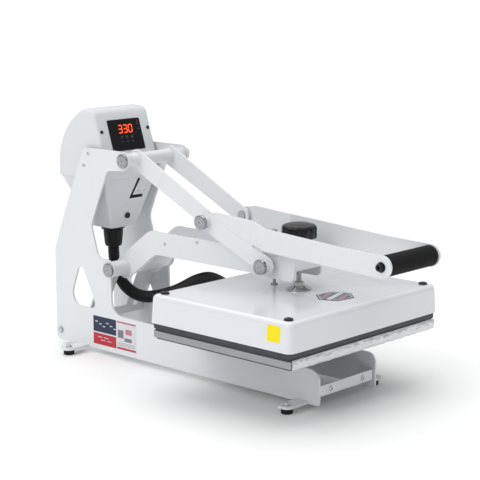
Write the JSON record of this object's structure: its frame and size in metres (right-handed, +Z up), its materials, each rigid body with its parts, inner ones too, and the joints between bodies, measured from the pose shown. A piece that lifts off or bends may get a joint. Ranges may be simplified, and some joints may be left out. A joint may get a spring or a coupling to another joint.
{
  "type": "clamshell heat press",
  "caption": "Clamshell heat press with a flat heated platen, toggle lever with foam grip, pressure knob, control box and rubber feet.",
  "frame": {"origin": "on the floor under the middle of the whole machine", "axes": "+Z up, -Y towards the operator and the grip, +X the operator's right, the control box at +Y"},
  "size_m": [0.515, 1.032, 0.599],
  "materials": {
    "white_enamel": "satin powder coat",
    "white_gloss": "gloss powder coat",
    "bright_steel": "polished",
    "zinc_steel": "zinc plated",
    "black_steel": "black oxide",
    "plate_aluminium": "machined",
    "heater_aluminium": "dark anodised edge",
    "dark_tray": "satin black",
    "pad_silicone": "silicone sheet",
    "foot_rubber": "moulded",
    "grip_foam": "closed-cell foam",
    "knob_plastic": "moulded",
    "black_plastic": "moulded",
    "display_film": "membrane film",
    "hose_plastic": "corrugated conduit",
    "board_green": "circuit board"
  },
  "bodies": {
    "frame": {"side_plate_left": "white_enamel", "side_plate_right": "white_enamel", "front_crossmember": "white_enamel", "crossmember_screws": "zinc_steel", "rear_cross_panel": "white_enamel", "tie_bars": "white_enamel", "tie_bolts": "zinc_steel", "frame_rivets": "bright_steel", "rubber_feet": "foot_rubber", "foot_screws": "zinc_steel", "platen_channels": "black_steel", "platen_tray": "dark_tray", "lower_platen": "plate_aluminium", "platen_pad": "pad_silicone", "link_pivot_pin": "bright_steel", "arm_pivot_pin": "bright_steel", "control_hood": "white_enamel", "display_panel": "display_film", "hood_screws": "black_steel", "controller_board": "board_green", "control_hopper": "white_enamel", "hopper_plug": "black_plastic", "mains_inlet": "black_plastic", "rocker_bezel": "black_plastic", "cable_gland": "black_plastic", "cable_hose": "hose_plastic"},
    "platen_arm": {"platen_arm": "white_enamel", "screw_bracket": "white_enamel", "guide_bar": "black_steel", "handle_pivot_pin": "bright_steel", "arm_set_screws": "black_steel"},
    "heat_head": {"heat_plate": "heater_aluminium", "head_cover": "white_gloss", "corner_buttons": "black_plastic", "heating_element": "zinc_steel", "thrust_cup": "bright_steel", "guide_bolt": "bright_steel"},
    "pressure_screw": {"pressure_knob": "knob_plastic", "pressure_screw": "zinc_steel"},
    "upper_link": {"upper_link": "white_enamel", "knee_bushes": "zinc_steel"},
    "handle": {"handle_frame": "white_enamel", "foam_grip": "grip_foam", "grip_bar": "zinc_steel", "grip_bolts": "black_steel", "knee_pins": "bright_steel"},
    "power_rocker": {"power_rocker": "black_plastic"}
  },
  "joints": [
    {"name": "arm_open", "type": "hinge", "parent": "frame", "child": "platen_arm", "pos_m": [0, 0.317, 0.217], "axis": [-1, 0, 0], "range_deg": [0, 13.5], "deforming": ["cable_hose"]},
    {"name": "link_swing", "type": "hinge", "parent": "frame", "child": "upper_link", "pos_m": [0, 0.2615, 0.4865], "axis": [1, 0, 0], "range_deg": [0, 12]},
    {"name": "handle_swing", "type": "hinge", "parent": "platen_arm", "child": "handle", "pos_m": [0, -0.1587, 0.2887], "axis": [-1, 0, 0], "range_deg": [0, 33.5]},
    {"name": "pressure_turn", "type": "hinge", "parent": "heat_head", "child": "pressure_screw", "pos_m": [0, -0.1985, 0.36], "axis": [0, 0, 1], "range_deg": [0, 725]},
    {"name": "head_lift", "type": "slide", "parent": "platen_arm", "child": "heat_head", "axis": [0, 0, 1], "range_m": [0, 0.004]},
    {"name": "rocker_tilt", "type": "hinge", "parent": "frame", "child": "power_rocker", "pos_m": [-0.034, 0.507, 0.449], "axis": [0, 0, 1], "range_deg": [0, 16]}
  ],
  "couplings": [
    {"joint": "link_swing", "follows": "arm_open", "ratio": 0.87761},
    {"joint": "handle_swing", "follows": "arm_open", "ratio": 2.4537},
    {"joint": "pressure_turn", "follows": "head_lift", "rad_per_m": 3141.6}
  ]
}
